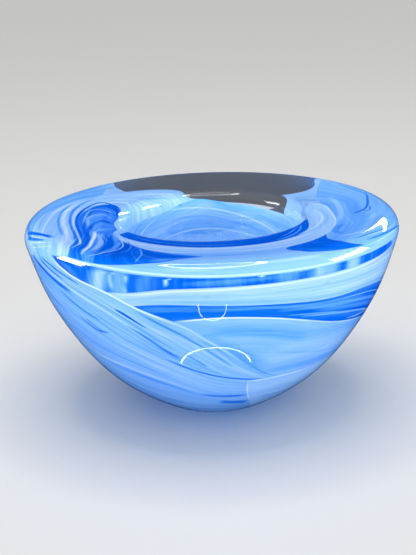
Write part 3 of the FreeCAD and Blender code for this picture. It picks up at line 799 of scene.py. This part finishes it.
SKIN_GAP = 0.05        # mm between the casing's inner face and the wraps' skins
WINDOW_GAP = 3         # and to the skin behind the shoulder's clear gap


def wrap_mesh(name, material, base, guides, width):
    """One wrap as a skin under the casing, with a map along its flow and its tones."""
    tris = TRIS[OWNER == list(PROBES).index(name)]
    used, index = np.unique(tris, return_inverse=True)
    flat = FLAT[used]
    obj = make_object(name + "_glass", in_space(flat[:, 0], flat[:, 1], CASING + SKIN_GAP),
                      index.reshape(tris.shape).tolist(), material)
    near_a, along = nearest(flat, guides[0])
    near_b, _ = nearest(flat, guides[1])
    flow = np.stack([along, near_a / (near_a + near_b + 1e-6) * width], -1)
    finish_wrap(obj, name, flow, paint(flat, base, STROKES))


# ------------ the pieces
GLASS = clear_glass("clear_glass")
bowl = revolved("clear_glass_body", GLASS, 0.0, GLASS_ROWS)
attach(bowl, "root")
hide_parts("outer_clear_casing", "inner_clear_lining", "clear_core_gather",
            "foot_clear_disc", "rear_clear_window")

# The blue seen through the shoulder's clear gap, with two painted highlights on it: a skin 3 mm below
# the wraps, a little wider than the gap
below = smooth_path([(208, 101), (217, 96.5), (227, 91.5), (238, 89.2), (264, 93.6), (300, 94),
                     (334, 94.6), (350, 97)], WINDOW_STEPS)
above = smooth_path([(208, 102), (217, 105), (227, 106), (238, 105.6), (264, 104.6), (300, 103.6),
                     (334, 102.4), (350, 99)], WINDOW_STEPS)
levels = np.linspace(0, 1, WINDOW_STEPS + 1)[:, None, None]
grid = below + (above - below) * levels
flat = grid.reshape(-1, 2)
count = len(below)
quads = [(j * count + i, j * count + i + 1, (j + 1) * count + i + 1, (j + 1) * count + i)
         for j in range(len(levels) - 1) for i in range(count - 1)]
window = make_object("shoulder_clear_window_glass",
                     in_space(flat[:, 0], flat[:, 1], CASING + WINDOW_GAP), quads,
                     streaked("shoulder_clear_window_colour", fine=0.3, broad=0.3, seed=41))
finish_wrap(window, "shoulder_clear_window", flat[:, ::-1], paint(flat, 0.18, WINDOW_STREAKS_AND_HIGHLIGHTS))

# Each wrap: its tone, the seams that its streaks follow, its width in mm, and how strong its fine
# and broad streaks are
BAND_TOP = ["window_lower", "band_tail", "rear_shoulder_right", "rear_shoulder_left", "clear_lower"]
WRAPS = {
    "base_light_patch": (0.72, ["base_upper"], ["foot_circle"], 36, 0.20, 0.30),
    "front_leaf_wrap": (0.60, ["leaf_edge"], ["base_upper"], 34, 0.25, 0.35),
    "front_cobalt_band": (0.16, ["cobalt_upper"], ["leaf_edge"], 12, 0.35, 0.30),
    "upper_pale_band": (0.76, BAND_TOP, ["cobalt_upper", "rear_sweep"], 20, 0.30, 0.30),
    "diagonal_pale_strand": (0.64, ["strand_upper"], ["strand_lower"], 16, 0.60, 0.45),
    "left_body_sweep": (0.63, ["strand_lower", "rear_sweep"], ["low_sweep"], 30, 0.50, 0.50),
    "lower_body_sweep": (0.60, ["low_sweep"], ["foot_circle"], 36, 0.25, 0.35),
    # painted shade: the front rim's pale band has a lower tone than the body's pale band, to take off
    # the stronger light that the top face gets
    "front_rim_pale_band": (0.62, ["window_upper", "band_tail"], ["ring_outer"], 16, 0.25, 0.30),
    "left_cobalt_wedge": (0.12, ["swirl_edge"], ["left_wedge_upper"], 20, 0.40, 0.40),
    "right_cobalt_wedge": (0.13, ["right_wedge_lower"], ["right_wedge_upper"], 12, 0.30, 0.30),
    "lip_pale_ring": (0.77, ["ring_inner"], ["ring_outer"], 8, 0.25, 0.25),
    "lip_cobalt_crescent": (0.12, ["ring_inner"], ["inside_edge"], 12, 0.30, 0.25),
    "swirl_pale_core": (0.30, ["hook_inner"], ["swirl_edge"], 14, 0.60, 0.60),
    "swirl_cobalt_hook": (0.20, ["hook_outer"], ["hook_inner"], 6, 0.55, 0.45),
    "left_rim_pale_sweep": (0.72, ["hook_outer"], ["clear_left", "left_shoulder"], 26, 0.50, 0.40),
    "left_shoulder_blue_wrap": (0.52, ["left_shoulder"], ["rear_shoulder_left"], 12, 0.30, 0.40),
    "right_rim_blue_wrap": (0.55, ["ring_outer"], ["rim_right"], 24, 0.25, 0.40),
    "inside_pale_wrap": (0.62, ["inside_edge"], ["inside_low"], 22, 0.50, 0.40),
    "inside_blue_streak": (0.48, ["patch_edge"], ["inside_edge"], 5, 0.40, 0.30),
    "inside_lower_wrap": (0.50, ["inside_low"], ["inside_edge"], 30, 0.40, 0.40),
}
SEED_STEP = 1.7
for number, (name, (base, upper, lower, width, fine, broad)) in enumerate(WRAPS.items()):
    colour = streaked(name + "_colour", fine, broad, number * SEED_STEP)
    wrap_mesh(name, colour, base, (upper, lower), width)


# ------------ stage, light and camera
def plain(name, colour, roughness=0.7):
    mat, tree, out = node_material(name)
    shader = add_node(tree, "BsdfPrincipled",
                      {"Base Color": (*colour, 1), "Roughness": roughness})
    tree.links.new(shader.outputs[0], out.inputs[0])
    return mat


def sheet(name, half_width, near, far, height, colour):
    """A flat sheet on the stage, which leaves no reflections on the glass."""
    corners = [(-half_width, near, height), (half_width, near, height),
               (half_width, far, height), (-half_width, far, height)]
    obj = make_object(name, corners, [(0, 1, 2, 3)], plain(name + "_paper", colour), smooth=False)
    obj.visible_glossy = False
    return obj


floor = sheet("floor", 20, -20, 20, 0, (0.70, 0.69, 0.67))
# A dark card on the floor behind, which only the clear glass of the rear rim refracts
card = sheet("dark_card", 0.4, 0.07, 0.6, 0.001, (0.10, 0.10, 0.10))
card.visible_camera = card.visible_diffuse = card.visible_shadow = False


BOWL_MIDDLE = Vector((0, 0, 0.05))
RING_STEPS = 72


def softbox(name, place, size_x, size_y, power, mirrored):
    """A soft lamp aimed at the bowl. If it isn't mirrored it leaves no highlight."""
    data = bpy.data.lights.new(name, "AREA")
    data.shape = "RECTANGLE"
    data.size = size_x
    data.size_y = size_y
    data.energy = power
    obj = bpy.data.objects.new(name, data)
    obj.location = place
    obj.rotation_euler = (BOWL_MIDDLE - Vector(place)).to_track_quat("-Z", "Y").to_euler()
    obj.visible_camera = False
    obj.visible_transmission = False
    obj.visible_glossy = mirrored
    obj.light_linking.receiver_collection = lit
    bpy.context.scene.collection.objects.link(obj)


def ring_lamp(name, centre, radius, width, strength, span=(0, 360), lights=True):
    """A flat ring of light, or a part of one, which may leave highlights only."""
    mat, tree, out = node_material(name + "_light")
    light = add_node(tree, "Emission", {"Strength": strength})
    tree.links.new(light.outputs[0], out.inputs[0])
    angles = [math.radians(a) for a in np.linspace(*span, RING_STEPS + 1)]
    verts = [(centre[0] + r * math.cos(a), centre[1] + r * math.sin(a), centre[2])
             for r in (radius - width / 2, radius + width / 2) for a in angles]
    outer = len(angles)
    faces = [(i, i + 1, i + outer + 1, i + outer) for i in range(RING_STEPS)]
    obj = make_object(name, verts, faces, mat, smooth=False)
    obj.visible_camera = False
    obj.visible_transmission = False
    obj.visible_shadow = False
    obj.visible_diffuse = lights


# Every soft lamp reaches only the bowl, so the floor stays even: place and width in metres,
# height, power in watts
SOFTBOXES = {
    "left": ((-1.2, 0.05, 0.52), 0.5, 0.36, 9),
    "right": ((1.2, -0.03, 0.49), 0.66, 0.36, 9),
    "behind_right": ((0.62, 1.08, 0.52), 0.7, 0.10, 3),
    "low_front_left": ((-1.5, -1.8, 0.22), 1.8, 0.4, 32),
    "low_front_right": ((1.5, -1.8, 0.22), 1.8, 0.4, 44),
    "low_front": ((0, -2.3, 0.22), 1.8, 0.4, 22),
    "low_back_left": ((-1.5, 1.8, 0.22), 1.8, 0.4, 24),
    "low_back_right": ((1.5, 1.8, 0.22), 1.8, 0.4, 30),
}
lit = bpy.data.collections.new("lit_by_the_soft_lamps")
for obj in bpy.context.scene.objects:
    if obj.type == "MESH" and obj not in (floor, card):
        lit.objects.link(obj)
for name, (place, size_x, size_y, power) in SOFTBOXES.items():
    softbox(name, place, size_x, size_y, power, not name.startswith("low"))
RING_HEIGHT, RING_RADIUS = 0.9, 0.235
ring_lamp("ring_lamp", (0, 0, RING_HEIGHT), RING_RADIUS, 0.026, 22)
ring_lamp("ring_glint", (0, 0, RING_HEIGHT), RING_RADIUS, 0.044, 18, lights=False)
# Arcs of light as a polished table would throw them back onto the bowl's front, at the depth where
# the table would mirror the ring. A short program worked out their places, by following the view
# from the camera to the two highlights in the reference picture and back off the glass.
ring_lamp("lower_arc", (0, -0.085, -RING_HEIGHT), 0.243, 0.014, 10, (186, 354), lights=False)
ring_lamp("upper_arc", (-0.02, -0.84, -RING_HEIGHT), 0.15, 0.012, 9, (6, 174), lights=False)
sky = bpy.data.lights.new("soft_top", "SUN")
sky.energy = 1.5
sky.angle = math.radians(80)
top = bpy.data.objects.new("soft_top", sky)
top.rotation_euler = (math.radians(12), 0, 0)
top.visible_transmission = top.visible_glossy = False
bpy.context.scene.collection.objects.link(top)

world = bpy.data.worlds.new("studio")
bpy.context.scene.world = world
world.use_nodes = True
world.node_tree.nodes["Background"].inputs[0].default_value = (0.94, 0.96, 1.0, 1)
world.node_tree.nodes["Background"].inputs[1].default_value = 0.45
world.cycles.sampling_method = "NONE"
world.cycles_visibility.glossy = False
bpy.context.scene.view_settings.view_transform = "Standard"

# The camera's place, pitch and roll and the side and shoulder of the bowl's section were fitted
# together, by a program, to the bowl's outline in the reference picture, then rounded. The lens was
# set before that, from straight edges in the picture. The roll is the bowl's own slight lean.
CAMERA_PLACE, CAMERA_PITCH, CAMERA_ROLL = (-0.0022, -0.4680, 0.2061), 17.98, 1.83
camera = bpy.data.objects.new("camera", bpy.data.cameras.new("camera"))
bpy.context.scene.collection.objects.link(camera)
camera.data.lens = 72.7
camera.data.clip_start = 0.01
camera.data.clip_end = 50
camera.matrix_world = (Matrix.Translation(CAMERA_PLACE)
                       @ Matrix.Rotation(math.pi / 2 - math.radians(CAMERA_PITCH), 4, "X")
                       @ Matrix.Rotation(-math.radians(CAMERA_ROLL), 4, "Z"))
bpy.context.scene.camera = camera
